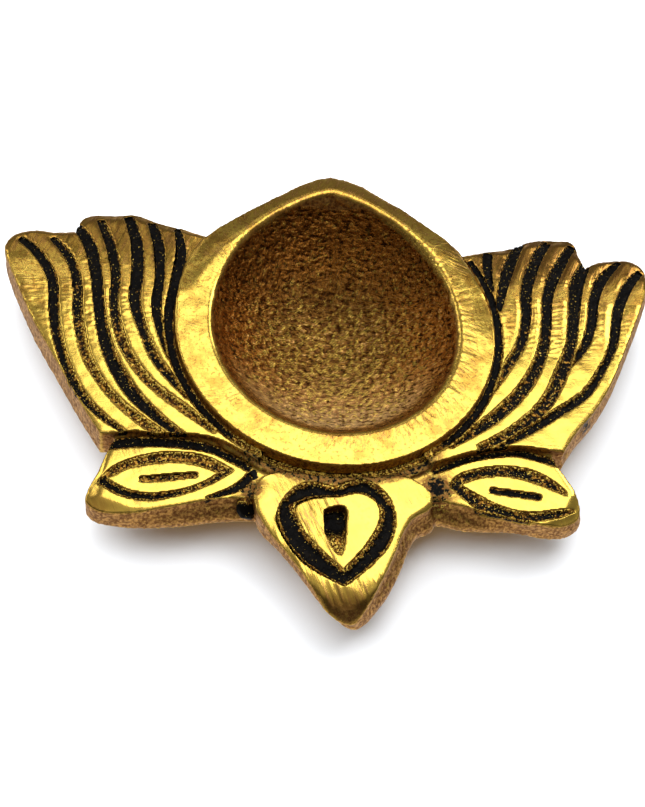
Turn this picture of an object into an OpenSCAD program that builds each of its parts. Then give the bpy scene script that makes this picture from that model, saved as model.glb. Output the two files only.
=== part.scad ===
// Lotus diya: a small sand-cast brass oil lamp, ground flat on top, with
// engraved petal lines that are filled with black enamel.
// Millimetres. The origin is the centre of the round foot, on the table.
// +X is the object's right, +Y its back, where the rim comes to a point.

/* [Heights above the table] */
// Top of the bowl's flat rim
rim_top = 12; // [11.5:0.1:14]
// Flat top of the two wings of petals
wing_top = 10.8; // [10.3:0.1:11]
// Flat top of the heart at the front
heart_top = 10.6; // [10.3:0.1:11]
// Flat top of the two leaves at the front
leaf_top = 9.6; // [9.2:0.1:9.9]
// Underside of the petals, leaves and heart
plate_bottom = 5.2; // [4:0.1:6]

/* [Bowl] */
// Outer radius of the rim
rim_r = 21.8; // [21.5:0.05:21.85]
// Radius of the opening, inside the rounded lip
mouth_r = 17.5; // [16:0.1:18]
// How far the pointed back of the opening is from the centre
mouth_point = 22.2; // [21:0.1:22.6]
// Lowest point of the bowl's inside
bowl_floor = 2.4; // [2:0.1:3.5]
// Rounding of the lip where the rim turns down into the bowl
lip_r = 1.1; // [0.6:0.1:1.5]
// Radius of the flat foot ground on the underside
foot_r = 12; // [9:0.5:14]

/* [Wings and tips] */
// Angle at which the back of the wings falls away
droop = 12; // [4:1:16]
// Where the wings start to fall away, behind the centre
droop_start = 9.5; // [8:0.5:12]
// Angle at which the heart's front tip falls away
tip_droop = 22; // [6:1:30]
// Where the heart's tip starts to fall away, in front of the centre
tip_start = 38.6; // [38.4:0.1:41]

/* [Engraving] */
// Depth of the engraved lines
line_depth = 0.9; // [0.6:0.1:1.2]
// How far the enamel lies below the brass around it
enamel_gap = 0.35; // [0.1:0.05:0.4]
// Depth of the slot in the heart
heart_slot_depth = 2.6; // [1.5:0.1:3]

/* [Hidden] */
LEFT_LINES = 6;
RIGHT_LINES = 7;
BRASS = [0.83, 0.66, 0.24];
ENAMEL = [0.05, 0.045, 0.04];
STEPS = 4;          // straight pieces between two points of a curve
BIG = 120;          // larger than the lamp, for cutting blocks
CUT_TOP = 15;       // height of the engraving cuts, above everything
rim_turn = 13.2;    // the rim is round in front of this, pointed behind
web_top = 10.1;     // ledge between the rim and the heart
web_r = 24;
web_front = -14;    // the ledge lies in front of this
web_half = 16;      // and within this either side
ring_floor = 9.3;   // bottom of the engraved line around the rim
$fn = 96;

// A smooth curve through points p; it carries widths along as a third value.
function blend(a, b, c, d, t) =
    0.5 * (2 * b + (c - a) * t + (2 * a - 5 * b + 4 * c - d) * t * t
    + (3 * b - a - 3 * c + d) * t * t * t);
function curve(p, n = STEPS) = concat(
    [for (i = [0:len(p) - 2]) for (k = [0:n - 1])
        blend(p[max(i - 1, 0)], p[i], p[i + 1], p[min(i + 2, len(p) - 1)], k / n)],
    [p[len(p) - 1]]);
function flat(p) = [p[0], p[1]];
function across(c, i) =
    let (d = flat(c[min(i + 1, len(c) - 1)]) - flat(c[max(i - 1, 0)]))
    [-d[1], d[0]] / norm(d);

// The outline of a line of changing width, from points [x, y, width].
module ribbon(p) {
    c = curve(p);
    last = len(c) - 1;
    polygon(concat(
        [for (i = [0:last]) flat(c[i]) + across(c, i) * c[i][2] / 2],
        [for (i = [last:-1:0]) flat(c[i]) - across(c, i) * c[i][2] / 2]));
}
module ball_slice(r, z, low, high) {
    intersection() {
        translate([0, 0, z]) sphere(r = r);
        translate([0, 0, low]) cylinder(r = BIG, h = high - low);
    }
}

// ---------------------------------------------------------------- outlines
left_wing_back = [
    [-14.9, 14.6], [-18.4, 15], [-21.5, 16.1], [-25, 17.4], [-28.4, 18.1], [-32.3, 17.9],
    [-34.7, 16.6], [-35.5, 14.2]];
left_wing_side = [
    [-35.5, 14.2], [-38, 14.2], [-41.6, 13.9], [-43.9, 13], [-44.9, 10.8],
    [-44.2, 8], [-42.6, 4], [-40.4, -1], [-37.9, -5.6], [-35.5, -10], [-33, -14.4],
    [-30.9, -17.8]];
left_wing_front = [
    [-30.9, -17.8], [-29, -17.5], [-27, -17.2], [-23.3, -17.3], [-19.4, -17.3],
    [-16.2, -17.8], [-12.9, -19.4], [-10.5, -21]];
left_wing_inside = [[-8, -12], [-8, 10]];
right_wing_back = [
    [15.1, 13.6], [18.5, 13.9], [22.5, 14.9], [27.1, 16.8], [31.7, 18.1], [34.6, 17.5],
    [35.3, 14.8], [36.1, 12.3]];
right_wing_side = [
    [36.1, 12.3], [38.3, 14.1], [41.8, 14.4], [44.2, 13.3], [44.8, 11], [44.4, 8.5],
    [43.1, 5], [41.4, 1], [39.5, -3.3], [37.3, -7.9], [34.8, -11.6], [32.3, -14.6],
    [30.2, -17.8]];
right_wing_front = [
    [30.2, -17.8], [26.8, -17.5], [24.2, -17.2], [21.5, -17.5], [18.7, -18.1],
    [16, -18.9], [12, -20.4]];
right_wing_inside = [[8, -12], [8, 10]];
left_leaf_outside = [
    [-28.5, -17], [-29.9, -19.4], [-30.9, -22.2], [-32.2, -25], [-32.4, -26.8],
    [-30.6, -28.1], [-26.7, -28.3], [-22.9, -27.6], [-19.1, -26.7], [-16, -26],
    [-10.5, -25.5]];
right_leaf_outside = [
    [12.5, -25], [17.6, -26.1], [22.1, -27.1], [26.6, -28.1], [29.5, -28],
    [31.6, -26.8], [32, -25], [31.4, -22.8], [30.1, -20.4], [28.5, -17.5]];
leaf_inside = 8;
heart_top_edge = [
    [-11.2, -25.6], [-10.7, -24], [-9.4, -22.7], [-7, -22.2], [-3, -22.5], [0.5, -22.7],
    [4, -22.5], [8.5, -22.2], [10.6, -23.2], [11.6, -24.6], [11.4, -25.9]];
heart_sides = [
    [11.4, -25.9], [9.7, -27.9], [8.1, -30.3], [6.7, -33.8], [4.7, -37.9],
    [2.7, -41.1], [0.6, -42.5], [-1.6, -41.2], [-4, -37.8], [-6.6, -33.9],
    [-9.1, -30.6], [-10.7, -27.7], [-11.2, -25.6]];
rim_back = [
    [17.2, 13.3], [15, 15.2], [9.6, 19.5], [4.4, 23], [1.9, 24], [0, 24.4],
    [-1.9, 23.9], [-4.6, 22.5], [-11.4, 17.8], [-15.2, 15], [-17.4, 13]];

// -------------------------------------------- engraved lines, [x, y, width]
left_lines = [
    [[-42.9, 12.3, 0.8], [-40.2, 9.6, 1.2], [-38.2, 5.6, 1.3], [-37.7, 0, 1.3],
     [-36.4, -6, 1.2], [-33.7, -11.8, 1.1], [-31, -15, 0.9], [-27.8, -17.4, 0.6]],
    [[-38.5, 12.9, 0.8], [-36.2, 9.6, 1.1], [-34.9, 5.5, 1.2], [-34.6, 0.5, 1.3],
     [-33.2, -6, 1.2], [-30.2, -11.3, 1], [-26.5, -15, 1.2], [-23, -17.6, 1.3]],
    [[-35.6, 15.4, 1.1], [-33.4, 11.7, 1.6], [-32.4, 7, 1.5], [-31.8, 1.5, 1.4],
     [-30.4, -5, 1.7], [-27.5, -10.8, 1.8], [-24, -14.7, 1.4], [-20.3, -17.7, 1]],
    [[-32.2, 16.6, 1], [-30.6, 12.2, 1.2], [-29.7, 7, 1.3], [-29.8, 1.5, 1.2],
     [-28.2, -4.5, 1.3], [-25, -9.5, 1.2], [-20.4, -13.4, 1.2], [-16, -16.7, 1]],
    [[-28.4, 17.5, 1.2], [-27, 12.6, 1.5], [-26.8, 7.5, 1.6], [-27.1, 3, 1.5],
     [-26, -1.3, 1.2], [-23.8, -6.6, 1.2], [-19.6, -11.8, 0.9]],
    [[-25.1, 16.7, 1.2], [-23.8, 11.6, 1.4], [-23.8, 6.5, 1.2], [-24.2, 2.4, 1.3],
     [-23.4, -2.3, 1], [-22.2, -6, 0.6]]];
right_lines = [
    [[44, 12.1, 0.9], [41.6, 8.9, 1.4], [39.8, 4.7, 1.4], [38.6, -0.6, 1.2],
     [36.8, -4.4, 1.1], [33.9, -8.8, 1.2], [29.3, -12.2, 1.3], [25.2, -15, 1.2],
     [21, -17.6, 0.6]],
    [[41.1, 13.9, 0.8], [38.4, 10.7, 1.4], [36.7, 6.8, 1.4], [35.7, 2, 1.3],
     [34.2, -1.6, 1.2], [31.8, -4.4, 1]],
    [[36.1, 12.9, 1.4], [34.4, 9, 1.9], [33.5, 4, 1.6], [32.6, -1, 1.5],
     [31, -5.2, 1.9], [28.2, -10.6, 1.7], [23.5, -15, 1.5], [18.5, -17.8, 0.9]],
    [[34.5, 16.7, 1.2], [32, 12, 1.6], [30.1, 7.1, 1.5], [29.4, 2, 1.4],
     [28.3, -2.8, 1.6], [25.6, -8.1, 1.7], [20.9, -13.1, 1.6], [14.6, -17.6, 1]],
    [[30.9, 17.4, 1.2], [28.6, 12.4, 1.5], [27, 7.4, 1.6], [26.7, 3.2, 1.3],
     [25.5, -1.3, 1.4], [23.1, -5.4, 1.3], [20.2, -9.8, 1]],
    [[26.9, 16.8, 1.3], [25.2, 12.6, 1.5], [23.9, 8.4, 1.4], [22.8, 4, 0.8]],
    [[22.1, 14.3, 1.3], [21.8, 11, 1.2], [22.2, 7.2, 0.5]]];
ring_left_end = [[-21.6, 15.9, 0.6], [-20.8, 11.3, 1.3], [-21.4, 7.4, 1.3]];
ring_right_end = [[21.8, 6.4, 1], [20.9, 9, 0.9], [19.4, 12.7, 0.6]];
ring_round = [for (a = [174:9:372])
    [(22.2 + 0.3 * abs(cos(a))) * cos(a), (22.2 + 0.3 * abs(cos(a))) * sin(a),
     0.6 + 0.6 * abs(cos(a))]];
left_border = [
    [-30.6, -18.9, 1.2], [-27, -18.2, 1.5], [-23, -18, 1.4], [-19.4, -18.2, 1.4],
    [-16.4, -18.8, 1.2], [-14, -20, 1.1], [-11.4, -21.5, 1]];
hook_gap = [[-11.3, -21.9, 0.8], [-10, -23.5, 0.8]];
left_hook = [
    [-11.3, -21.9, 0.8], [-12, -23.2, 1], [-13.8, -24.6, 0.9], [-17.3, -26, 0.3]];
right_border = [
    [30.4, -19.2, 0.9], [27.5, -18.4, 1], [24.6, -17.7, 0.9], [21.5, -17.9, 0.8],
    [18.6, -18.5, 0.8], [16, -19.4, 0.8], [12.5, -21, 0.6]];
left_loop_out = concat(
    curve([[-31.2, -24.2], [-28.8, -21.6], [-25, -20], [-21, -19.4], [-17, -20], [-13.6, -21.8]]),
    curve([[-13.6, -21.8], [-16.5, -23.8], [-20.5, -25.6], [-24.5, -26.5], [-28, -26],
        [-31.2, -24.2]]));
left_loop_in = concat(
    curve([[-30, -23.6], [-27, -22], [-24, -21.2], [-21, -20.9], [-18, -21.3], [-15.5, -22.2]]),
    curve([[-15.5, -22.2], [-18, -23.9], [-21, -25], [-24.5, -25.5], [-27.5, -25], [-30, -23.6]]));
right_loop_out = concat(
    curve([[14.6, -22.8], [16.5, -20.9], [21.5, -19.7], [26, -20.2], [29.3, -22.2], [31.2, -24.6]]),
    curve([[31.4, -25.8], [29, -26.9], [26, -27.6], [22, -27.4], [18, -26.1], [14.6, -22.8]]));
right_loop_in = concat(
    curve([[16.3, -22.5], [19.3, -21.4], [23, -21.2], [27.2, -22.4], [33, -25.1]]),
    curve([[33, -25.3], [29, -25.8], [25, -26.4], [21, -25.5], [16.3, -22.9]]));
heart_loop_out = concat(
    curve([[-0.7, -24.2], [-3.8, -23.6], [-6.6, -25], [-8.1, -28.4], [-6.6, -32.6],
        [-3.8, -35.7], [0.3, -38]]),
    curve([[0.3, -38], [3.3, -35.5], [5.9, -32.5], [7.1, -29], [6.2, -25.2], [3, -22.9],
        [-0.7, -24.2]]));
heart_loop_in = concat(
    curve([[0, -25.5], [-3.6, -25.8], [-5.9, -27.2], [-4.8, -30.3], [-2.4, -33.3], [0.2, -35.8]]),
    curve([[0.2, -35.8], [3.2, -32.3], [5.1, -28.6], [4.6, -26], [2.6, -24.9], [0, -25.5]]));
heart_slot_shape = [
    [-2.1, -27.3], [0.6, -27], [0.65, -30], [0.4, -32.3], [-0.2, -33.8], [-1.5, -32.2],
    [-2.1, -30.2]];
dab_corner = [-13.4, -25.95, 5.9];
dab_size = [3.4, 1.5, 3.4];
leaf_slots = [
    [[-25.7, -23.6, 0.8], [-22, -23.1, 0.85], [-18.3, -22.6, 0.7]],
    [[20, -23.3, 0.8], [23.4, -23.7, 0.85], [26.8, -24.1, 0.8]]];

// ------------------------------------------------- the lamp before engraving
module slab(low, high) {
    translate([0, 0, low]) linear_extrude(height = high - low) children();
}
module left_wing_outline() {
    polygon(concat(curve(left_wing_back), curve(left_wing_side), curve(left_wing_front),
        left_wing_inside));
}
module right_wing_outline() {
    polygon(concat(curve(right_wing_back), curve(right_wing_side), curve(right_wing_front),
        right_wing_inside));
}
module wings() {
    difference() {
        slab(plate_bottom, wing_top) {
            left_wing_outline();
            right_wing_outline();
        }
        above_droop(0);
    }
}
// The space above the falling back of the wings, lowered by "depth".
module above_droop(depth) {
    translate([-BIG / 2, droop_start, wing_top - depth]) rotate([-droop, 0, 0])
        cube([BIG, BIG, BIG]);
}
module leaf_outlines() {
    polygon(concat(curve(left_leaf_outside), [[-leaf_inside, -24], [-leaf_inside, -15]]));
    polygon(concat(curve(right_leaf_outside), [[leaf_inside, -15], [leaf_inside, -24]]));
}
module leaves() {
    slab(plate_bottom, leaf_top) leaf_outlines();
}
module heart() {
    difference() {
        slab(plate_bottom, heart_top)
            polygon(concat(curve(heart_top_edge), curve(heart_sides)));
        translate([-BIG / 2, -tip_start, heart_top]) rotate([tip_droop, 0, 0])
            translate([0, -BIG, 0]) cube([BIG, BIG, BIG]);
    }
}
module web() {
    intersection() {
        translate([0, 0, plate_bottom]) cylinder(r = web_r, h = web_top - plate_bottom);
        translate([-web_half, web_front - BIG, 0]) cube([2 * web_half, BIG, BIG]);
    }
}
module rim() {
    slab(plate_bottom, rim_top) {
        intersection() {
            circle(r = rim_r);
            translate([-BIG, rim_turn - 2 * BIG]) square([2 * BIG, 2 * BIG]);
        }
        polygon(concat(rim_back, [[-12, 0], [12, 0]]));
    }
}
// The underside is part of a ball, ground flat where it stands.
module belly() {
    join_r = 19.5;
    z = (join_r * join_r + plate_bottom * plate_bottom - foot_r * foot_r) / (2 * plate_bottom);
    ball_slice(sqrt(foot_r * foot_r + z * z), z, 0, plate_bottom + 0.2);
}
// Half of the bowl's section, "grow" wider: a round floor that meets the
// rounded lip, which ends level with the rim at mouth_r.
module bowl_section(grow) {
    drop = rim_top - lip_r - bowl_floor;
    bowl_r = (mouth_r * mouth_r + drop * drop - lip_r * lip_r) / (2 * (lip_r + drop));
    middle = bowl_floor + bowl_r;
    share = bowl_r / (bowl_r + lip_r);
    meet_z = middle - (middle - rim_top + lip_r) * share;
    intersection() {
        translate([grow, middle]) circle(r = bowl_r);
        translate([grow, 0]) square([BIG, meet_z]);
    }
    if (grow > 0)
        translate([0, bowl_floor]) square([grow, meet_z - bowl_floor]);
    difference() {
        translate([0, meet_z]) square([grow + mouth_r, rim_top + 1 - meet_z]);
        translate([grow + mouth_r, rim_top - lip_r]) circle(r = lip_r);
    }
}
// Round in front; at the back two wider bowls cross, which draws the mouth
// to a point and leaves a crease down the back wall.
module bowl_inside() {
    c = (mouth_point * mouth_point - mouth_r * mouth_r) / (2 * mouth_r);
    intersection() {
        rotate_extrude() bowl_section(0);
        translate([-BIG / 2, -BIG, 0]) cube([BIG, BIG, BIG]);
    }
    intersection() {
        translate([c, 0, 0]) rotate_extrude() bowl_section(c);
        translate([-c, 0, 0]) rotate_extrude() bowl_section(c);
        translate([-BIG / 2, 0, 0]) cube([BIG, BIG, BIG]);
    }
}

// ------------------------------------------------------ shapes of the lines
module ring_shape() {
    ribbon(concat(ring_left_end, ring_round, ring_right_end));
}
module left_line_shape(i) {
    difference() {
        ribbon(left_lines[i]);
        ring_shape();
    }
}
module right_line_shape(i) {
    difference() {
        ribbon(right_lines[i]);
        ring_shape();
        if (i == 1) ribbon(right_lines[2]);
    }
}
module border_shape(p) {
    difference() {
        ribbon(p);
        left_wing_outline();
        right_wing_outline();
        ring_shape();
    }
}
module hook_shape() {
    difference() {
        ribbon(left_hook);
        ribbon(left_border);
        ribbon(hook_gap);
    }
}
module loop_shape(outside, inside) {
    difference() {
        polygon(outside);
        polygon(inside);
    }
}
// An engraved cut is open above; its enamel is the same shape, cut off a
// little below the brass that stood there.
module cut(bottom) {
    slab(bottom, CUT_TOP) children();
}
// On the wings the bottom of a cut falls away with the surface.
module wing_cut(depth) {
    cut(wing_top - depth) children();
    intersection() {
        cut(plate_bottom) children();
        above_droop(depth);
    }
}
module wing_enamel() {
    color(ENAMEL) intersection() {
        wing_cut(line_depth) children();
        translate([0, 0, -enamel_gap]) wings();
    }
}
module leaf_enamel() {
    color(ENAMEL) slab(leaf_top - line_depth, leaf_top - enamel_gap) intersection() {
        children();
        leaf_outlines();
    }
}
module heart_enamel(depth) {
    color(ENAMEL) slab(heart_top - depth, heart_top - enamel_gap) children();
}

// ---------------------------------------------------------------- the parts
module casting() {
    color(BRASS) difference() {
        union() {
            wings();
            leaves();
            heart();
            web();
            rim();
            belly();
        }
        bowl_inside();
        wing_cut(wing_top - ring_floor) ring_shape();
        wing_cut(line_depth) {
            for (i = [0:LEFT_LINES - 1]) left_line_shape(i);
            for (i = [0:RIGHT_LINES - 1]) right_line_shape(i);
        }
        cut(leaf_top - line_depth) {
            border_shape(left_border);
            hook_shape();
            loop_shape(left_loop_out, left_loop_in);
            ribbon(leaf_slots[0]);
            border_shape(right_border);
            loop_shape(right_loop_out, right_loop_in);
            ribbon(leaf_slots[1]);
        }
        cut(heart_top - line_depth) loop_shape(heart_loop_out, heart_loop_in);
        cut(heart_top - heart_slot_depth) polygon(curve(heart_slot_shape));
    }
}
module ring_line() {
    color(ENAMEL) intersection() {
        wing_cut(wing_top - ring_floor) ring_shape();
        translate([0, 0, -enamel_gap]) {
            wings();
            web();
        }
    }
}
module left_petal_line(i) { wing_enamel() left_line_shape(i); }
module right_petal_line(i) { wing_enamel() right_line_shape(i); }
module left_leaf_border() { leaf_enamel() border_shape(left_border); }
module left_leaf_hook() { leaf_enamel() hook_shape(); }
module left_leaf_loop() { leaf_enamel() loop_shape(left_loop_out, left_loop_in); }
module left_leaf_slot() { leaf_enamel() ribbon(leaf_slots[0]); }
module right_leaf_border() { leaf_enamel() border_shape(right_border); }
module right_leaf_loop() { leaf_enamel() loop_shape(right_loop_out, right_loop_in); }
module right_leaf_slot() { leaf_enamel() ribbon(leaf_slots[1]); }
module heart_loop() {
    heart_enamel(line_depth) loop_shape(heart_loop_out, heart_loop_in);
}
module heart_slot() {
    color(ENAMEL) slab(heart_top - heart_slot_depth, heart_top - 2 * line_depth)
        polygon(curve(heart_slot_shape));
}
// A run of enamel on the side wall, in the corner beside the heart.
module corner_dab() {
    color(ENAMEL) difference() {
        translate(dab_corner) cube(dab_size);
        leaves();
        heart();
    }
}

casting();
ring_line();
for (i = [1:LEFT_LINES])
    left_petal_line(i - 1);
for (i = [1:RIGHT_LINES])
    right_petal_line(i - 1);
left_leaf_border();
left_leaf_hook();
left_leaf_loop();
left_leaf_slot();
right_leaf_border();
right_leaf_loop();
right_leaf_slot();
heart_loop();
heart_slot();
corner_dab();
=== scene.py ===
import math

import bpy
import numpy as np
from mathutils import Matrix, Vector
from mathutils.bvhtree import BVHTree
from mathutils.kdtree import KDTree


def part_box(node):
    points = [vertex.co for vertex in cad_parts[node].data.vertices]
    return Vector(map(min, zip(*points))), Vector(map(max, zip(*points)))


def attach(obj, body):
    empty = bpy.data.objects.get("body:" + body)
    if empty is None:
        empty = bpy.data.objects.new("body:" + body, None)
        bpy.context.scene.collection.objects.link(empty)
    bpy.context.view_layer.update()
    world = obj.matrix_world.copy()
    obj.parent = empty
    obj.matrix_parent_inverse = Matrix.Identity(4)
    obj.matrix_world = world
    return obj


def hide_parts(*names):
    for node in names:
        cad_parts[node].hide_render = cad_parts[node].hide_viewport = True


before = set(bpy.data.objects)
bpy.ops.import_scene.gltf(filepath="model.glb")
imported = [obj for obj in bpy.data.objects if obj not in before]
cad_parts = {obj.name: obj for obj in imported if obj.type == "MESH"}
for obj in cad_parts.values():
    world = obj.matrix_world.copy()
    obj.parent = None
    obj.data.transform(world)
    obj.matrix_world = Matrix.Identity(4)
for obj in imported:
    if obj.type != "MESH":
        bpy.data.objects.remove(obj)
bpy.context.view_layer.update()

MM = 0.001

# ------------------------------------------------------- sizes, in millimetres
# Levels come from the CAD model's own boxes.
ENAMEL_GAP = 0.35
RIM_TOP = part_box("casting")[1].z / MM
WING_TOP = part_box("left_petal_line_1")[1].z / MM + ENAMEL_GAP
LEAF_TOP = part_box("left_leaf_loop")[1].z / MM + ENAMEL_GAP
HEART_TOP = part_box("heart_loop")[1].z / MM + ENAMEL_GAP
PLATE_BOTTOM = 5.2
# Stands for any distance that is too long to matter.
FAR = 9.0
# All the filed flats are above this level, but for the wings' backs that fall.
FLATS_LOW = 8.0
RIM_R = 21.8
MOUTH_R = 17.5
# The wings' backs fall behind this y and the heart's tip falls in front of that.
DROOP_START = 9.5
DROOP = math.tan(math.radians(12))
TIP_START = -38.6
TIP_DROOP = math.tan(math.radians(22))
# The wings are behind this y, the leaves and the heart in front of it.
LEAVES_BACK = -17
# This far to each side of the bowl the file left its deepest ridges.
RIDGES_X = 31


# ------------------------------------------------------------------ mesh tools
def step(low, high, value):
    """0 below low, 1 above high and smooth between. low may be the larger."""
    t = np.clip((value - low) / (high - low), 0, 1)
    return t * t * (3 - 2 * t)


def waves(points, length, seed, count=26):
    """A smooth random field, mostly within -1 to 1, with bumps this many mm long."""
    draw = np.random.default_rng(seed)
    ways = draw.normal(size=(count, 3))
    ways /= np.linalg.norm(ways, axis=1)[:, None]
    ways *= 2 * math.pi / (length * draw.uniform(0.7, 1.5, count))[:, None]
    phases = draw.uniform(0, 2 * math.pi, count)
    total = np.zeros(len(points))
    for way, phase in zip(ways, phases):
        total += np.cos(points @ way + phase)
    return total / math.sqrt(2 * count)


class Skin:
    """A CAD node's surface, cut into an even net of small faces. Millimetres."""

    def __init__(self, node, voxel):
        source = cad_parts[node]
        copy = bpy.data.objects.new(node + "_copy", source.data.copy())
        bpy.context.scene.collection.objects.link(copy)
        remesh = copy.modifiers.new("remesh", "REMESH")
        remesh.mode = "VOXEL"
        remesh.voxel_size = voxel * MM
        ready = copy.evaluated_get(bpy.context.evaluated_depsgraph_get())
        self.mesh = bpy.data.meshes.new_from_object(ready)
        self.mesh.name = node + "_looks"
        bpy.data.objects.remove(copy)
        self.count = len(self.mesh.vertices)
        flat = np.empty(self.count * 3)
        self.mesh.vertices.foreach_get("co", flat)
        self.at = flat.reshape(-1, 3) / MM
        ends = np.empty(len(self.mesh.edges) * 2, np.int32)
        self.mesh.edges.foreach_get("vertices", ends)
        self.ends = ends.reshape(-1, 2)
        both = self.ends.ravel()
        self.degree = np.maximum(np.bincount(both, minlength=self.count), 1)

    def around(self, values):
        """Each vertex's mean of its neighbours' values."""
        one, two = self.ends.T
        total = np.empty_like(values)
        for k in range(values.shape[1]):
            total[:, k] = np.bincount(one, values[two, k], self.count)
            total[:, k] += np.bincount(two, values[one, k], self.count)
        return total / self.degree[:, None]

    def smooth(self, times, share=0.5):
        for _ in range(times):
            self.at += share * (self.around(self.at) - self.at)

    def store(self):
        self.mesh.vertices.foreach_set("co", (self.at * MM).ravel())
        self.mesh.update()

    def normals(self):
        self.store()
        flat = np.empty(self.count * 3, np.float32)
        self.mesh.vertices.foreach_get("normal", flat)
        return flat.reshape(-1, 3).astype(float)

    def push(self, amount):
        """Moves each vertex this many mm along its normal."""
        self.at += self.normals() * np.asarray(amount).reshape(-1, 1)

    def mark(self, name, values):
        """Keeps one number for each vertex, for the material."""
        layer = self.mesh.attributes.new(name, "FLOAT", "POINT")
        layer.data.foreach_set("value", np.asarray(values, np.float32))

    def mark_vector(self, name, values):
        layer = self.mesh.attributes.new(name, "FLOAT_VECTOR", "POINT")
        layer.data.foreach_set("vector", np.asarray(values, np.float32).ravel())

    def piece(self, node, look):
        self.store()
        self.mesh.materials.clear()
        self.mesh.materials.append(look)
        self.mesh.shade_smooth()
        shown = bpy.data.objects.new(node + "_piece", self.mesh)
        bpy.context.scene.collection.objects.link(shown)
        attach(shown, "root")
        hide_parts(node)
        return shown


# ------------------------------------------------------------------- materials
class Look:
    """Builds one procedural material, measured in millimetres on the object."""

    def __init__(self, name):
        self.material = bpy.data.materials.new(name)
        self.material.use_nodes = True
        self.tree = self.material.node_tree
        self.shader = self.tree.nodes["Principled BSDF"]
        place = self.add("ShaderNodeTexCoord").outputs["Object"]
        self.place = self.scaled(place, 1 / MM)

    def add(self, kind, **settings):
        node = self.tree.nodes.new(kind)
        for name, value in settings.items():
            setattr(node, name, value)
        return node

    def plug(self, socket, value):
        if isinstance(value, bpy.types.NodeSocket):
            self.tree.links.new(value, socket)
        elif hasattr(socket.default_value, "__len__") and len(value) == 3:
            size = len(socket.default_value)
            socket.default_value = (*value, 1)[:size]
        else:
            socket.default_value = value

    def scaled(self, vector, amount):
        node = self.add("ShaderNodeVectorMath", operation="MULTIPLY")
        self.plug(node.inputs[0], vector)
        amount = amount if hasattr(amount, "__len__") else (amount,) * 3
        node.inputs[1].default_value = amount
        return node.outputs[0]

    def mark(self, name):
        return self.add("ShaderNodeAttribute", attribute_name=name).outputs["Fac"]

    def mark_vector(self, name):
        return self.add("ShaderNodeAttribute", attribute_name=name).outputs["Vector"]

    def noise(self, size, detail=3, rough=0.55, at=None, twist=0):
        """Noise from 0 to 1 with bumps about this many mm across."""
        node = self.add("ShaderNodeTexNoise")
        self.plug(node.inputs["Vector"], at or self.place)
        node.inputs["Scale"].default_value = 1 / size
        node.inputs["Detail"].default_value = detail
        node.inputs["Roughness"].default_value = rough
        node.inputs["Distortion"].default_value = twist
        return node.outputs["Fac"]

    def spread(self, value, low, high, out_low=0, out_high=1):
        node = self.add("ShaderNodeMapRange", interpolation_type="SMOOTHSTEP")
        self.plug(node.inputs["Value"], value)
        self.plug(node.inputs["From Min"], low)
        self.plug(node.inputs["From Max"], high)
        self.plug(node.inputs["To Min"], out_low)
        self.plug(node.inputs["To Max"], out_high)
        return node.outputs["Result"]

    def maths(self, operation, one, two):
        node = self.add("ShaderNodeMath", operation=operation)
        self.plug(node.inputs[0], one)
        self.plug(node.inputs[1], two)
        return node.outputs[0]

    def times(self, one, two):
        return self.maths("MULTIPLY", one, two)

    def plus(self, one, two):
        return self.maths("ADD", one, two)

    def most(self, one, two):
        return self.maths("MAXIMUM", one, two)

    def centred(self, noise):
        """Noise about 0 instead of 0.5."""
        return self.maths("SUBTRACT", noise, 0.5)

    def colour(self, share, one, two):
        node = self.add("ShaderNodeMix", data_type="RGBA")
        self.plug(node.inputs["Factor"], share)
        self.plug(node.inputs[6], one)
        self.plug(node.inputs[7], two)
        return node.outputs[2]

    def number(self, share, one, two):
        node = self.add("ShaderNodeMix", data_type="FLOAT")
        self.plug(node.inputs["Factor"], share)
        self.plug(node.inputs[2], one)
        self.plug(node.inputs[3], two)
        return node.outputs[0]

    def bump(self, height, depth, below=None):
        """Adds height from 0 to 1 as relief this many mm deep."""
        node = self.add("ShaderNodeBump")
        self.plug(node.inputs["Height"], height)
        if isinstance(depth, bpy.types.NodeSocket):
            depth = self.times(depth, MM)
        else:
            depth = depth * MM
        self.plug(node.inputs["Distance"], depth)
        if below:
            self.plug(node.inputs["Normal"], below)
        return node.outputs[0]

    def finish(self, **sockets):
        for name, value in sockets.items():
            self.plug(self.shader.inputs[name.replace("_", " ").title()], value)
        return self.material


POLISHED = (0.96, 0.67, 0.12)
TARNISHED = (0.56, 0.27, 0.04)
CAST_SKIN = (0.68, 0.37, 0.10)
CAST_DARK = (0.24, 0.10, 0.028)
BOWL_SKIN = (0.6, 0.23, 0.035)
BOWL_DARK = (0.05, 0.015, 0.003)
BOWL_DEEP_SHADE = (0.3, 0.14, 0.026)
BOWL_DUST_AND_SHEEN = (0.34, 0.22, 0.095)
BOWL_CREST_HIGHLIGHT = (0.85, 0.48, 0.15)
BLACK = (0.0015, 0.0013, 0.0012)
DUSTY_BLACK = (0.004, 0.003, 0.002)
WORN_THIN = (0.07, 0.028, 0.007)
# Little mirroring where there is no bare metal, so that black stays black.
SPECULAR = 0.06


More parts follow.
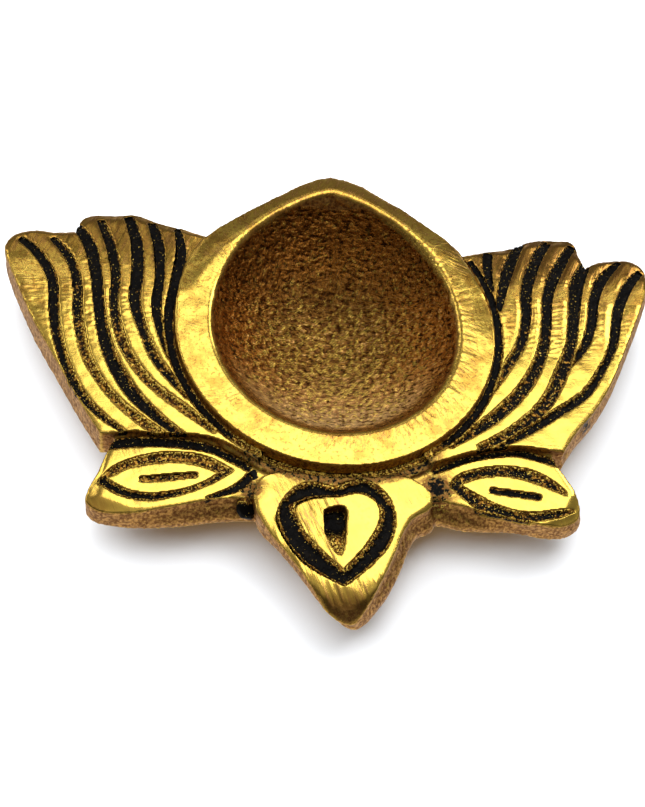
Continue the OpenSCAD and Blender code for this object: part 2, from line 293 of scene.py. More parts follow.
def filed_metal(look, flecks, strokes, scratched, grit):
    """The filed flats: polished, with dull patches, veins, scratches and grit, and painted
    shade where they fall away from the light.
    """
    clean = look.mark("clean")
    patched = look.spread(look.noise(2.6, 3), 0.4, 0.7)
    dull = look.most(look.times(patched, 0.75), look.spread(flecks, 0.52, 0.66, 0, 0.8))
    dull = look.times(dull, look.number(clean, 1, 0.3))
    streaked = look.spread(strokes, 0.38, 0.6, 0.5, 1)
    # The tarnish on the flats is partly painted shade where they fall away from the light.
    dull = look.most(dull, look.times(look.mark("tarnish_and_shade"), streaked))
    metal = look.colour(dull, POLISHED, TARNISHED)
    metal = look.colour(scratched, metal, CAST_SKIN)
    # Painted shade on the flats that fall away from the light.
    metal = look.colour(look.mark("shade"), metal, CAST_DARK)
    veins = look.maths("ABSOLUTE", look.centred(look.noise(1.1, 3)), 0)
    veins = look.times(look.spread(veins, 0.004, 0.022, 0.8, 0), patched)
    veins = look.times(veins, look.number(clean, 1, 0))
    metal = look.colour(veins, metal, CAST_DARK)
    return look.colour(look.spread(grit, 0.72, 0.8), metal, CAST_DARK)


def bowl_metal(look, wrinkles):
    """The bowl's wrinkled and pitted inside, with painted light: a dusty front painted paler
    as if lit, a middle and back painted darker as shade, and wrinkle crests and troughs
    painted light and dark.
    """
    dust_and_sheen, shade = look.mark("dust_and_sheen"), look.mark("shade")
    # Painted shade: the bowl's deep middle, and less so its front, take a darker colour.
    metal = look.colour(look.mark("deep"), BOWL_SKIN, BOWL_DEEP_SHADE)
    # Painted shade at the bowl's back.
    metal = look.colour(shade, metal, BOWL_DARK)
    # Dusty, and painted paler as light: the bowl's front, as if lit from behind.
    metal = look.colour(look.times(dust_and_sheen, 0.9), metal, BOWL_DUST_AND_SHEEN)
    # Painted shade in the wrinkles' troughs and painted highlights on their crests,
    # following the same wrinkles as the bump.
    metal = look.colour(look.spread(wrinkles, 0.38, 0.49), BOWL_DARK, metal)
    lit = look.spread(shade, 0, 0.5, 0.75, 0.1)
    crest_highlights = look.times(look.spread(wrinkles, 0.56, 0.66), lit)
    metal = look.colour(crest_highlights, metal, BOWL_CREST_HIGHLIGHT)
    pits = look.plus(look.noise(0.8, 2), look.times(dust_and_sheen, 0.03))
    return look.colour(look.spread(pits, 0.63, 0.68, 0, 0.9), metal, BOWL_DARK)


def cast_metal(look, sand, scratched, inside):
    """The skin that the sand left: dark in the hollows and rubbed on the edges."""
    skin = look.colour(look.spread(sand, 0.35, 0.65), CAST_DARK, CAST_SKIN)
    skin = look.colour(look.times(scratched, 0.8), skin, CAST_DARK)
    skin = look.colour(look.mark("bowl"), skin, inside)
    skin = look.colour(look.times(look.mark("hollow"), 0.85), skin, CAST_DARK)
    return look.colour(look.times(look.mark("edge"), 0.75), skin, POLISHED)


def stray_enamel(look, flecks):
    """Where enamel got onto the brass, with ragged edges."""
    paint = look.most(look.mark("paint"), look.times(look.mark("mess"), 0.52))
    ragged = look.plus(paint, look.times(look.centred(flecks), 1.1))
    return look.times(look.spread(ragged, 0.45, 0.6), look.spread(paint, 0.02, 0.12))


def brass_relief(look, grit, sand, wrinkles, strokes):
    filed, bowl = look.mark("filed"), look.mark("bowl")
    relief = look.bump(grit, look.number(filed, 0.035, 0.008))
    depth = look.number(filed, look.number(bowl, 0.07, 0.42), 0.008)
    relief = look.bump(look.number(bowl, sand, wrinkles), depth, relief)
    return look.bump(strokes, look.number(look.mark("rub"), 0.004, 0.06), relief)


def make_brass():
    look = Look("brass")
    filed, bowl, mess = look.mark("filed"), look.mark("bowl"), look.mark("mess")
    flecks = look.noise(0.5, 2)
    strokes = look.noise(0.4, 3, 0.6, look.mark_vector("grain"))
    sand = look.noise(0.42, 4, 0.6)
    grit = look.noise(0.22, 2, 0.6)
    wrinkles = look.noise(0.62, 3, 0.6, look.scaled(look.place, (0.62, 1.25, 1.1)))
    scratched = look.times(look.spread(strokes, 0.47, 0.68), look.mark("rub"))
    glints = look.times(look.spread(flecks, 0.5, 0.57), mess)

    skin = cast_metal(look, sand, scratched, bowl_metal(look, wrinkles))
    bright = filed_metal(look, flecks, strokes, scratched, grit)
    metal = look.colour(filed, skin, bright)
    metal = look.colour(look.times(mess, 0.75), metal, CAST_DARK)
    metal = look.colour(glints, metal, POLISHED)
    painted = stray_enamel(look, flecks)

    raw = look.number(bowl, look.spread(sand, 0.3, 0.7, 0.6, 0.42), 0.27)
    raw = look.number(filed, raw, 0.19)
    raw = look.plus(raw, look.times(scratched, 0.12))
    raw = look.number(glints, raw, 0.2)
    # Less metallic on the bowl's dusty front, which is painted as lit.
    solid = look.most(filed, look.maths("SUBTRACT", 1, look.mark("dust_and_sheen")))
    look.shader.inputs["Specular IOR Level"].default_value = SPECULAR
    return look.finish(
        base_color=look.colour(painted, metal, BLACK),
        metallic=look.number(painted, look.number(solid, 0.5, 1), 0),
        roughness=look.number(painted, raw, 0.32),
        normal=brass_relief(look, grit, sand, wrinkles, strokes),
    )


def make_enamel():
    look = Look("enamel")
    wear = look.mark("wear")
    grains = look.noise(0.5, 3, 0.7)
    lumps = look.noise(0.9, 2)
    worn = look.plus(wear, look.times(look.centred(grains), 1.5))
    worn = look.plus(worn, look.times(look.mark("high"), 0.25))
    worn = look.spread(worn, 0.62, 0.8)
    shine = look.spread(lumps, 0.35, 0.7, 0.42, 0.22)
    black = look.colour(look.spread(lumps, 0.45, 0.8), BLACK, DUSTY_BLACK)
    gold = look.colour(look.spread(grains, 0.5, 0.64), WORN_THIN, TARNISHED)
    glints = look.plus(look.noise(0.24, 2), look.times(wear, 0.14))
    glints = look.spread(glints, 0.7, 0.76)
    gold = look.colour(glints, gold, POLISHED)
    worn = look.most(worn, glints)
    look.shader.inputs["Specular IOR Level"].default_value = SPECULAR
    return look.finish(
        base_color=look.colour(worn, black, gold),
        metallic=look.times(worn, 0.9),
        roughness=look.number(worn, shine, 0.42),
        normal=look.bump(grains, 0.14),
    )


brass = make_brass()
enamel = make_enamel()

# ----------------------------------------------------------------- the casting
VOXEL = 0.2
casting = Skin("casting", VOXEL)

# Places on the plan that differ from the rest: x, y and radius.
LEFT_LEAF_TIP = (-31.5, -27.5, 8)
RIGHT_LEAF_TIP = (31, -27, 5)
HEART_TIP = (0.5, -41, 6)
HEART_SHOULDER = (10.5, -25.5, 5)
BULGE = (10.4, -25.6, 3.2)
LEFT_CORNER = (-11.4, -24.4, 2.6)
RIGHT_CORNER = (13, -23.5, 4)
WING_SPLASH = (33.5, -12.5, 4)
LEFT_SPLASH = (-11.2, -22.4, 1.3)
RIGHT_SPLASH = (12.9, -23.4, 2.6)
# A spot of painted shade on the left leaf, laid over a bright reflection.
SHADED_LEAF = (-32, -29, 6)
SCRATCHED = (17.4, 10.6, 4.5)
# Where the edges are rounded more than elsewhere, and by how many mm.
ROUNDED = (
    (LEFT_LEAF_TIP, 0.45),
    (HEART_SHOULDER, 0.2),
    (RIGHT_LEAF_TIP, 0.6),
    (HEART_TIP, 0.3),
)
# Which way the file went over the heart.
FILED_HEART = math.radians(113)


def placed(points):
    """Each point's x, y, z and its distance from the bowl's axis."""
    x, y, z = points.T
    return x, y, z, np.hypot(x, y)


def spot(points, x, y, radius):
    """1 at a place on the plan and 0 beyond the radius."""
    return step(radius, 0, np.hypot(points[:, 0] - x, points[:, 1] - y))


def turned(points, turn):
    """How far along and across a direction on the plan each point is."""
    x, y, _ = points.T
    return x * np.cos(turn) + y * np.sin(turn), y * np.cos(turn) - x * np.sin(turn)


def strokes(points, turn, width, seed, stretch=0.12):
    """Uneven ridges this many mm wide, running at an angle across the plan."""
    along, across = turned(points, turn)
    return waves(np.stack([along * stretch, across, 0 * along], 1), width, seed, 40)


def settle(points):
    """Rounds off the creases where the wings' backs and the heart's tip fall."""
    x, y, z, r = placed(points)
    upper = step(PLATE_BOTTOM, PLATE_BOTTOM + 2.5, z)
    wing = step(RIM_R - 0.6, RIM_R + 0.3, r) * step(14, 17, np.abs(x))
    start = DROOP_START + np.where(x < 0, 1.2, -0.8) + 1.3 * np.sin(x * 0.9 + 1)
    soft = np.where(x < 0, 1.5, 2.6)
    falls = soft * np.logaddexp(0, (y - start) / soft) - np.maximum(y - DROOP_START, 0)
    points[:, 2] -= DROOP * falls * upper * wing
    past = np.maximum(TIP_START + 2.8 - y, 0)
    falls = 0.048 * past**2 - TIP_DROOP * np.maximum(TIP_START - y, 0)
    points[:, 2] -= falls * upper * step(9, 7, np.abs(x))


def lean(points):
    """The lower half of the mould sat a little to the right of the upper half."""
    x, y, z, r = placed(points)
    outside = np.maximum(step(18, 22, np.abs(x)), step(LEAVES_BACK, -20, y))
    outside = outside * step(20, 24, r)
    at_heart = step(-22, -30, y) * step(15, 12, np.abs(x))
    depth = np.where(y < LEAVES_BACK, LEAF_TOP, WING_TOP) - z
    low = step(0.6, 3.4, depth) * outside
    shift = 0.1 + 0.55 * step(-25, 15, x)
    # In the corners between the leaves and the heart it reached further out.
    corner = step(-31, -16, x) * (x < 0) + 1.2 * step(25, 15, x) * (x > 0)
    corner = corner * step(-19, -22, y) * step(-36, -30, y) * step(8.5, 11.5, np.abs(x))
    points[:, 1] -= 1.4 * corner * step(0.3, 3.6, depth) * step(18, 22, r)
    # The heart's right shoulder bulges.
    bulge = spot(points, *BULGE)
    points[:, 0] += (shift + 0.9 * at_heart) * low + 0.9 * bulge
    points[:, 1] -= 0.5 * bulge
    points[:, 1] += 0.7 * at_heart * step(-36, -41, y) * low


def plan_tree(points):
    """For finding how near a place on the plan is to any of these points."""
    tree = KDTree(len(points))
    for k, point in enumerate(points):
        tree.insert((point[0], point[1], 0), k)
    tree.balance()
    return tree


def plan_distances(tree, points, wanted):
    """How far each wanted point is from the tree's nearest point on the plan."""
    near = np.full(len(points), FAR)
    for k in np.nonzero(wanted)[0]:
        near[k] = tree.find((points[k, 0], points[k, 1], 0))[2]
    return near


def wall_tree():
    """Where the outer walls stand on the plan."""
    _, _, z, r = placed(casting.at)
    upright = np.abs(casting.normals()[:, 2]) < 0.3
    wall = upright & (z > PLATE_BOTTOM + 0.8) & (z < FLATS_LOW - 0.2) & (r > RIM_R - 1.9)
    return plan_tree(casting.at[wall])


walls = wall_tree()


def roll_off(points):
    """Rounds the upper edges of the wings, leaves and heart, some more than others."""
    x, y, z, r = placed(points)
    inset = plan_distances(walls, points, (z > FLATS_LOW - 0.2) & (r > RIM_R))
    roll = 0.12 + 0.3 * step(12, 16, y) * step(16, 20, np.abs(x))
    for place, more in ROUNDED:
        roll += more * spot(points, *place)
    wide = 0.8 + 1.8 * step(0.2, 0.6, roll)
    high = step(FLATS_LOW - 0.5, FLATS_LOW + 0.5, z)
    points[:, 2] -= roll * step(wide, 0, inset) ** 1.5 * high


def messy(points):
    """The rough ledge and corners around the heart, which no file reached."""
    x, y, z, r = placed(points)
    ledge = step(RIM_R + 2.8, RIM_R + 1.8, r) * step(RIM_R - 0.2, RIM_R + 0.3, r)
    ledge = ledge * step(-14, LEAVES_BACK, y) * step(15, 12, np.abs(x))
    low = step(HEART_TOP - 0.05, HEART_TOP - 0.3, z)
    corners = spot(points, *LEFT_CORNER) + spot(points, *RIGHT_CORNER)
    return np.clip(ledge + 1.6 * corners * low, 0, 1) * (z > PLATE_BOTTOM + 0.8)


def hatched_lip(points):
    """The inner edge of the rim, where the file crossed it in short strokes."""
    x, _, z, r = placed(points)
    lip = step(MOUTH_R + 2.5, MOUTH_R + 1.1, r) * step(MOUTH_R - 1.1, MOUTH_R - 0.3, r)
    return lip * step(-15, -3, x) * (z > RIM_TOP - 1)


def filed_share(points):
    """How far the file cut away the casting's skin, from 0 to 1."""
    _, y, z, r = placed(points)
    level = z - np.minimum(0, DROOP * (DROOP_START - y))
    filed = step(0.5, 0.9, casting.normals()[:, 2]) * step(FLATS_LOW, FLATS_LOW + 0.2, level)
    filed *= 1 - (r < RIM_R - 0.4) * step(RIM_TOP - 0.3, RIM_TOP - 0.5, z)
    filed = np.maximum(filed, hatched_lip(points))
    return filed * (1 - 0.85 * step(-39.5, -41.5, y))


# The functions below move the casting's points by where they were in the CAD.
def roll_rim(cad):
    """Rolls off the outer half of the rim around the back."""
    at = casting.at
    x, y, z, r = placed(cad)
    angle = np.degrees(np.arctan2(x, y))
    slots = np.arange(-92, 93, 2)
    on_rim = (z > RIM_TOP - 0.2) & (y > -2)
    reach = [r[on_rim & (np.abs(angle - a) < 2)].max() for a in slots]
    inward = np.interp(angle, slots, reach) - r
    at_back = step(78, 50, np.abs(angle + 4)) * (y > -2)
    rolled = step(3.0, -0.2, inward) ** 1.4 * at_back * step(RIM_TOP - 3, RIM_TOP, z)
    at[:, 2] -= rolled
    at[:, :2] *= (1 + 0.75 * rolled / np.maximum(r, 1))[:, None]
    # File strokes tilted the rim a little at its right-hand back.
    tilted = step(45, 60, angle) * step(95, 75, angle) * on_rim
    at[:, 2] -= 0.12 * np.maximum(r - MOUTH_R, 0) * tilted * step(RIM_TOP - 2, RIM_TOP, z)


def ripple_flats(cad, filed, near):
    """File marks leave the flats uneven, and rounded beside the lines."""
    at = casting.at
    x, y, _, r = placed(cad)
    uneven = 0.03 * waves(at, 8, 1) + 0.012 * waves(at, 2.0, 2)
    at[:, 2] += uneven * filed
    on_wing = filed * step(RIM_R, RIM_R + 0.8, r) * step(-19, -17.5, y)
    on_right = step(18, 26, x)
    beside = np.sqrt(np.maximum(near**2 - ENAMEL_GAP**2, 0))
    domed = 0.03 + (0.025 + 0.085 * on_right) * step(-6, 5, y)
    at[:, 2] -= domed * step(0, 1, (0.5 + 0.45 * on_right - beside) / 0.95) * on_wing
    rippled = step(-6, -1, y) * step(12, 8, y) * on_wing
    ridges = step(4, 2, np.abs(np.abs(x) - RIDGES_X)) * step(-2, 2, waves(at, 5, 13))
    rippled = rippled * (0.3 + ridges)
    at[:, 2] += 0.05 * strokes(at, math.radians(10), 0.62, 10, 0.4) * rippled
    combed = np.maximum(step(-35, -37, y), 0.8 * step(-25, -26, y) * step(1, -1, x))
    combed = combed * step(9, 8, np.abs(x)) * filed
    at[:, 2] += 0.09 * strokes(at, FILED_HEART, 0.75, 11) * combed
    at[:, 2] += 0.035 * strokes(at, math.radians(70), 0.7, 12) * on_wing * step(7, 10, y)


def hatch_lip(cad):
    """Leaves short ridges across the rim's inner edge."""
    x, y, _, r = placed(cad)
    around_lip = np.stack([np.arctan2(y, x) * MOUTH_R, 0.2 * r, 0 * r], 1)
    casting.push(0.03 * waves(around_lip, 0.65, 15, 40) * hatched_lip(cad))


def roughen(cad, filed):
    """Everything the file did not touch keeps the grain of the sand."""
    at = casting.at
    _, y, z, r = placed(cad)
    kept = 1 - filed
    for _ in range(2):
        kept = np.minimum(kept, casting.around(kept[:, None])[:, 0])
    sandy = 0.045 * waves(at, 0.85, 3, 40) + 0.07 * waves(at, 1.7, 4)
    sandy -= 0.08 * np.exp(-((waves(at, 1.5, 5) / 0.16) ** 2))
    at_floor = step(9, 5, z) * step(12, 0, y) * (r < MOUTH_R)
    on_wall = (np.abs(casting.normals()[:, 2]) < 0.5) & (r > MOUTH_R)
    casting.push(sandy * kept * (0.75 + 0.95 * at_floor - 0.45 * on_wall))
    casting.push(0.06 * waves(at, 0.9, 6) * messy(at))
    at[:, 2] = np.maximum(at[:, 2], 0)


def slant_heart(cad):
    """The heart's left half was filed at a slant."""
    x, y, z = cad.T
    slant = 0.07 * np.clip(-x, 0, 8) * step(-22, -26, y) * step(15, 11, np.abs(x))
    casting.at[:, 2] -= slant * step(PLATE_BOTTOM, HEART_TOP, z)


def shape_casting(near):
    """Turns the exact solid into a sand casting that was filed flat by hand."""
    cad = casting.at.copy()
    filed = filed_share(cad)
    roll_off(casting.at)
    settle(casting.at)
    casting.smooth(2)
    lean(casting.at)
    roll_rim(cad)
    ripple_flats(cad, filed, near)
    hatch_lip(cad)
    roughen(cad, filed)
    slant_heart(cad)
    return filed


# The functions below mark the shaped casting for its material.
def mark_bends():
    """Edges that stand out, and hollows."""
    bend = ((casting.around(casting.at) - casting.at) * casting.normals()).sum(1)
    bend = casting.around(bend[:, None])[:, 0] / VOXEL
    casting.mark("edge", step(-0.02, -0.12, bend))
    casting.mark("hollow", step(0.02, 0.12, bend))


def mark_filed(filed):
    mess = messy(casting.at)
    casting.mark("filed", filed * (1 - 0.9 * mess))
    casting.mark("mess", mess)


def mark_bowl():
    """The bowl's inside, its dusty front painted paler as if lit, its deep middle painted
    darker as shade, and painted shade on the bowl's back, the wings' backs, the heart's tip
    and a leaf.
    """
    x, y, z, r = placed(casting.at)
    facing_up = casting.normals()[:, 2] > 0
    bowl = step(RIM_TOP - 0.3, RIM_TOP - 0.9, z) * (r < MOUTH_R + 2.5) * facing_up
    casting.mark("bowl", bowl)
    # Painted light on a dusty front: the bowl's front is paler and less metallic, as if lit.
    casting.mark("dust_and_sheen", bowl * step(0, -15, y) * step(10.5, 8, z))
    # Painted shade on the bowl's middle and front.
    deep = np.maximum(step(14, 6, np.hypot(x, y - 2)), 0.6 * step(-3, -10, y))
    casting.mark("deep", bowl * deep)
    # Painted shade: the bowl's back, the wings' backs, the heart's tip and a spot on the
    # left leaf get darker colours.
    backs = np.where(x < 0, 0.35 * step(8, 14, y), 0.6 * step(6, 12, y))
    ends = 0.75 * step(-37, -41.5, y) + backs * step(18, 22, np.abs(x))
    ends = np.maximum(ends, 0.5 * spot(casting.at, *SHADED_LEAF))
    casting.mark("shade", np.maximum(0.5 * bowl * step(2, 10, y), ends))


def mark_paint(near, steep):
    """Stray enamel beside the lines and in three splashes, not on outer walls."""
    at = casting.at
    x, y, z = at.T
    splash = 0.6 * spot(at, *WING_SPLASH) * steep * (z > WING_TOP - 3.2)
    splash = np.maximum(splash, 1.2 * spot(at, *LEFT_SPLASH) * (z < LEAF_TOP + 0.3))
    splash = np.maximum(splash, 0.8 * spot(at, *RIGHT_SPLASH) * (z < HEART_TOP - 0.3))
    bare = (y < -15) & (z < LEAF_TOP - 0.6)
    bare |= (np.abs(x) > 26) & (np.abs(y + 6.5) < 10) & (z < WING_TOP - 0.6)
    reach = 0.32 + 0.1 * step(-8, 2, y)
    beside_lines = step(reach, reach - 0.22, near) * (1 - bare)
    casting.mark("paint", np.maximum(beside_lines, splash))


def mark_tarnish_and_shade(near):
    """Tarnish, and painted shade on brass that falls away from the light: behind the bowl
    and at the ends of the wings, beside the wings' lines, on a leaf and on the heart's tip.
    """
    x, y, _, r = placed(casting.at)
    wing = step(RIM_R - 1, RIM_R + 1, r) * step(16, 18, np.abs(x))
    wing_backs = 0.85 * step(6, 12, y) * wing
    beside_lines = 0.7 * step(-4, 6, y) * step(0.9, 0.4, near) * wing
    behind = 0.75 * step(14, 19, y) * step(MOUTH_R + 1.5, MOUTH_R + 4, r)
    tarnish_and_shade = np.maximum(np.maximum(wing_backs, beside_lines), behind)
    tarnish_and_shade = tarnish_and_shade + step(-37.5, -41, y)
    casting.mark("tarnish_and_shade", np.maximum(tarnish_and_shade, 0.8 * spot(casting.at, *SHADED_LEAF)))


def mark_clean(near):
    """Flats that stayed bright: beside the lines and along the rim's front."""
    _, y, _, r = placed(casting.at)
    beside_lines = step(0.75, 0.5, near) * step(8, 4, y) * (r > RIM_R + 0.3)
    front = step(1, -6, y) * (0.2 + 0.8 * step(RIM_R, RIM_R + 1, r))
    front = front * step(MOUTH_R + 2, RIM_R, r)
    casting.mark("clean", np.maximum(beside_lines, front))


def crossed_rim():
    """A few straight scratches cross the rim at its right-hand back."""
    _, _, z, r = placed(casting.at)
    return spot(casting.at, *SCRATCHED) * (z > RIM_TOP - 1.2) * (r > MOUTH_R)


def mark_grain(steep, crossed):
    """Which way the file went: the first number runs slowly along the stroke."""
    x, y, z, r = placed(casting.at)
    turn = np.where(y < LEAVES_BACK, FILED_HEART, np.radians(5 + 65 * step(6, 9, y)))
    along, across = turned(casting.at, turn)
    grain = np.stack([along * 0.12, across, 0 * x], 1)
    on_rim = (r < RIM_R + 0.2) & (z > 10) | (y > 12) & (np.abs(x) < 12)
    sweep = np.arctan2(y, x) * 20
    for here, numbers in (
        (on_rim, (sweep + 0.4 * r, 0.3 * r, 0 * r)),
        (crossed > 0.02, (0.06 * x + 0.02 * y, 0.8 * y + 0.25 * x, 0 * x)),
        (steep, (x, y, 0.15 * z)),
    ):
        grain[here] = np.stack(numbers, 1)[here]
    casting.mark_vector("grain", grain)


def mark_rub(steep, crossed):
    """How deep and dark the file's strokes are."""
    x, y, _, r = placed(casting.at)
    rub = 0.05 + 0.45 * step(0.2, 0.8, waves(casting.at, 6, 8))
    for more in (
        # The wings' ridges and their roughest part.
        0.6 * step(-2, 5, y) * step(13, 10, y) * step(RIM_R, RIM_R + 1, r),
        0.8 * step(2.2, 1.2, np.abs(np.abs(x) - RIDGES_X)) * step(-4, 2, y),
        # The right part of the mouth's lip.
        0.75 * step(MOUTH_R + 3.4, MOUTH_R + 1, r) * step(-14, 2, x),
        # The heart's left half and its tip.
        0.9 * step(-24, -25, y) * step(1.5, -0.5, x) * step(9, 8, np.abs(x)),
        step(-36, -39, y),
        # The rim's back and front.
        0.9 * step(6, 12, y) * step(16, 12, np.abs(x)),
        0.35 * step(-8, -16, y) * (r < RIM_R) * (r > MOUTH_R),
        # The outer walls and the wings' backs.
        0.8 * steep * (r > RIM_R),
        0.8 * step(6, 11, y) * (np.abs(x) > 14),
        1.2 * crossed,
    ):
        rub = np.maximum(rub, more)
    casting.mark("rub", rub)


def mark_casting(filed, near):
    steep = np.abs(casting.normals()[:, 2]) < 0.6
    crossed = crossed_rim()
    mark_bends()
    mark_filed(filed)
    mark_bowl()
    mark_paint(near, steep)
    mark_tarnish_and_shade(near)
    mark_clean(near)
    mark_grain(steep, crossed)
    mark_rub(steep, crossed)


def paint_tree():
    """All the enamel's CAD surfaces, to measure how near the brass is to it."""
    corners, faces = [], []
    for name, node in sorted(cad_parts.items()):
        if name not in ("casting", "corner_dab"):
            base = len(corners)
            corners += [v.co / MM for v in node.data.vertices]
            faces += [[base + k for k in p.vertices] for p in node.data.polygons]
    return BVHTree.FromPolygons(corners, faces)


def distances(tree, points, wanted, reach):
    """How far each wanted point is from the tree's surfaces, within reach."""
    near = np.full(len(points), FAR)
    for k in np.nonzero(wanted)[0]:
        hit = tree.find_nearest(points[k], reach)
        if hit[0] is not None:
            near[k] = hit[3]
    return near


near_paint = distances(paint_tree(), casting.at, casting.at[:, 2] > 5, 1.2)
mark_casting(shape_casting(near_paint), near_paint)
casting.piece("casting", brass)

# ------------------------------------------------------------------ the enamel
# How much of each line's enamel has worn off, and how far the bare sides of
# its groove slope in over it, in mm.
WORN = {
    "left_petal_line_1": (0.35, 0.3),
    "left_petal_line_2": (0.75, 0.35),
    "left_petal_line_3": (0.25, 0.3),
    "left_petal_line_4": (0.7, 0.35),
    "left_petal_line_5": (0.4, 0.3),
    "left_petal_line_6": (0.3, 0.25),
    "right_petal_line_1": (0.3, 0.25),
    "right_petal_line_2": (0.3, 0.3),
    "right_petal_line_3": (0.5, 0.35),
    "right_petal_line_4": (0.45, 0.35),
    "right_petal_line_5": (0.5, 0.35),
    "right_petal_line_6": (0.45, 0.3),
    "right_petal_line_7": (0.3, 0.25),
    "ring_line": (0.15, 0.2),
    "left_leaf_border": (0.2, 0.25),
    "right_leaf_border": (0.25, 0.2),
    "left_leaf_loop": (0.45, 0.4),
    "right_leaf_loop": (0.5, 0.4),
    "left_leaf_slot": (0.75, 0.1),
    "heart_loop": (0.05, 0.85),
}
FRESH = (0.1, 0.2)
ENAMEL_VOXEL = 0.16
DAB_SHIFT = np.array([0.15, -0.1, 0.4])
DAB_HALF = np.array([1.25, 1.15, 1.25])


def side_slope(name, place, wall, middle):
    """How much further than usual the side of the groove nearest a place slopes."""
    if "petal" in name:
        # Filing wore the sides that face the bowl more.
        inner = (wall[0] - place[0]) * place[0] < 0
        return 1.7 if inner else 0.35
    if name == "heart_loop":
        # It wore the loop's outer side at the top and its inner side below.
        inner = math.dist(wall[:2], middle) < math.dist(place, middle)
        upper = place[1] > middle[1] + 3.5
        return 0.5 if inner == upper else 1.25
    return 1


def bare_sides(name, run, slope, on_top, upright):
    """1 where a line's top belongs to its groove's sloping sides, 0 at its middle."""
    sides = plan_tree(run.at[upright])
    slope = slope * (0.3 + 0.7 * step(3, -4, run.at[:, 1]))
    away = np.full(run.count, FAR)
    middle = run.at.mean(0)[:2]
    for k in np.nonzero(on_top)[0]:
        place = run.at[k, :2]
        wall, _, away[k] = sides.find((*place, 0))
        slope[k] *= side_slope(name, place, wall, middle)
    return step(slope, 0, away) * on_top


def make_blob(run):
    """The dab in the corner is a blob of enamel that ran off the pen."""
    middle = (run.at.min(0) + run.at.max(0)) / 2 + DAB_SHIFT
    ways = (run.at - middle) / np.ptp(run.at, 0)
    ways /= np.linalg.norm(ways, axis=1)[:, None]
    run.at[:] = middle + ways * DAB_HALF


def make_line(name):
    run = Skin(name, ENAMEL_VOXEL)
    share, slope = WORN.get(name, FRESH)
    y = run.at[:, 1].copy()
    rise = run.normals()[:, 2]
    on_top = rise > 0.6
    side = bare_sides(name, run, slope, on_top, np.abs(rise) < 0.3)
    if name == "corner_dab":
        make_blob(run)
    else:
        run.smooth(2)
        run.push(0.1)
    run.at[:, 2] += (0.32 * side - 0.15 * (1 - side)) * on_top
    lumpy = 0.08 * waves(run.at, 0.8, 20) + 0.05 * waves(run.at, 1.8, 21)
    run.push(lumpy - 0.03)
    worn = share * (0.45 + 0.55 * step(6, -6, y))
    if name == "ring_line":
        worn = worn + step(-16, -19, y)
    elif name == "left_leaf_loop":
        worn = worn - 0.2 + 0.5 * step(-1, 1, y - y.mean())
    elif name == "heart_slot":
        # Its front part stands proud and has lost its enamel.
        front = step(-29.3, -31.5, y)
        run.at[:, 2] += 1.1 * front * on_top
        worn = 1.2 * front
    roll_off(run.at)
    settle(run.at)
    lean(run.at)
    run.mark("wear", worn + 1.2 * side)
    run.mark("high", lumpy / 0.1)
    run.piece(name, enamel)


for name in sorted(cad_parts):
    if name != "casting":
        make_line(name)

# ------------------------------------------------- camera, floor and the light
# The camera looks down from the front, turned a little to the left.
CAM_AIM = Vector((-2.17, -12.7, RIM_TOP))
CAM_DISTANCE = 240
CAM_ELEVATION = math.radians(59.4)
CAM_AZIMUTH = math.radians(-13.2)
CAM_ROLL = math.radians(13.8)
CAM_ANGLE = math.radians(20)
# From here on lengths are in metres.
CAM_NEAR = 0.01
FLOOR_HALF = 0.8
FLOOR_COLOURS = ((0.85, 0.88, 0.92), (0.87, 0.9, 0.94))
WORLD_COLOUR = (1, 0.96, 0.9, 1)
# Each light's name, direction, distance, size and radiance, and whether the
# brass mirrors it.
LIGHTS = (
    ("softbox", (0.17, 0.34, 1), 0.6, (0.36, 0.36), 1.85, True),
    ("left_back", (-0.75, 0.5, 0.62), 0.6, (0.3, 0.2), 1.8, True),
    ("back_right", (0.75, 0.6, 0.7), 0.6, (0.2, 0.2), 4, True),
    ("back_strip", (0.1, 1.35, 1), 0.6, (0.5, 0.05), 1.0, True),
    ("floor_light", (-0.28, 0.4, 1), 0.8, (1.5, 1.3), 3.3, False),
)


def make_camera():
    towards = Vector((
        math.sin(CAM_AZIMUTH) * math.cos(CAM_ELEVATION),
        -math.cos(CAM_AZIMUTH) * math.cos(CAM_ELEVATION),
        math.sin(CAM_ELEVATION),
    ))
    camera = bpy.data.objects.new("camera", bpy.data.cameras.new("camera"))
    bpy.context.scene.collection.objects.link(camera)
    facing = towards.to_track_quat("Z", "Y").to_matrix().to_4x4()
    place = Matrix.Translation((CAM_AIM + towards * CAM_DISTANCE) * MM)
    camera.matrix_world = place @ facing @ Matrix.Rotation(CAM_ROLL, 4, "Z")
    camera.data.sensor_fit = "HORIZONTAL"
    camera.data.angle = CAM_ANGLE
    camera.data.clip_start = CAM_NEAR
    bpy.context.scene.camera = camera


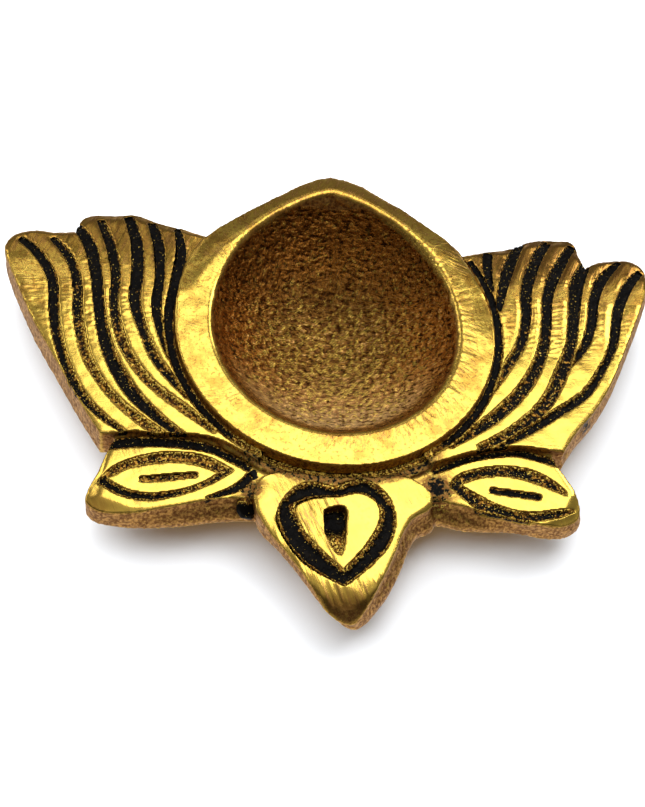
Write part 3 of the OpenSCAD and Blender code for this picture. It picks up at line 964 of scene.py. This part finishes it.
def make_floor():
    look = Look("floor")
    tone = look.spread(look.noise(30, 2), 0.3, 0.7)
    tint = look.colour(tone, *FLOOR_COLOURS)
    half = FLOOR_HALF
    corners = [(-half, -half, 0), (half, -half, 0), (half, half, 0), (-half, half, 0)]
    mesh = bpy.data.meshes.new("floor")
    mesh.from_pydata(corners, [], [(0, 1, 2, 3)])
    mesh.materials.append(look.finish(base_color=tint, roughness=0.9))
    floor = bpy.data.objects.new("floor", mesh)
    bpy.context.scene.collection.objects.link(floor)
    floor.visible_glossy = False


def make_light(name, way, distance, size, radiance, shines):
    """An even rectangular light. Radiance 1 shows as white in a mirror."""
    data = bpy.data.lights.new(name, "AREA")
    data.shape = "RECTANGLE"
    data.size, data.size_y = size
    data.energy = radiance * math.pi * size[0] * size[1]
    light = bpy.data.objects.new(name, data)
    bpy.context.scene.collection.objects.link(light)
    way = Vector(way).normalized()
    light.location = CAM_AIM * MM + way * distance
    light.rotation_euler = way.to_track_quat("Z", "Y").to_euler()
    light.visible_glossy = shines


def make_world():
    """Dim at the front, and brighter at the back, overhead and below the horizon."""
    world = bpy.data.worlds.new("world")
    bpy.context.scene.world = world
    world.use_nodes = True
    tree = world.node_tree
    coords = tree.nodes.new("ShaderNodeTexCoord")
    split = tree.nodes.new("ShaderNodeSeparateXYZ")
    tree.links.new(coords.outputs["Generated"], split.inputs[0])

    def ramp(socket, low, high, out_low, out_high):
        node = tree.nodes.new("ShaderNodeMapRange")
        node.interpolation_type = "SMOOTHSTEP"
        tree.links.new(socket, node.inputs["Value"])
        for key, value in zip(
            ("From Min", "From Max", "To Min", "To Max"), (low, high, out_low, out_high)
        ):
            node.inputs[key].default_value = value
        return node.outputs["Result"]

    total = ramp(split.outputs["Y"], -0.8, 0.1, 0.07, 0.18)
    for low, high, strength in ((0.75, 0.98, 0.3), (0.1, -0.6, 0.85)):
        more = ramp(split.outputs["Z"], low, high, 0, strength)
        adding = tree.nodes.new("ShaderNodeMath")
        tree.links.new(total, adding.inputs[0])
        tree.links.new(more, adding.inputs[1])
        total = adding.outputs[0]
    tree.links.new(total, tree.nodes["Background"].inputs["Strength"])
    tree.nodes["Background"].inputs["Color"].default_value = WORLD_COLOUR


make_camera()
make_floor()
make_world()
for light in LIGHTS:
    make_light(*light)
bpy.context.scene.view_settings.view_transform = "Standard"
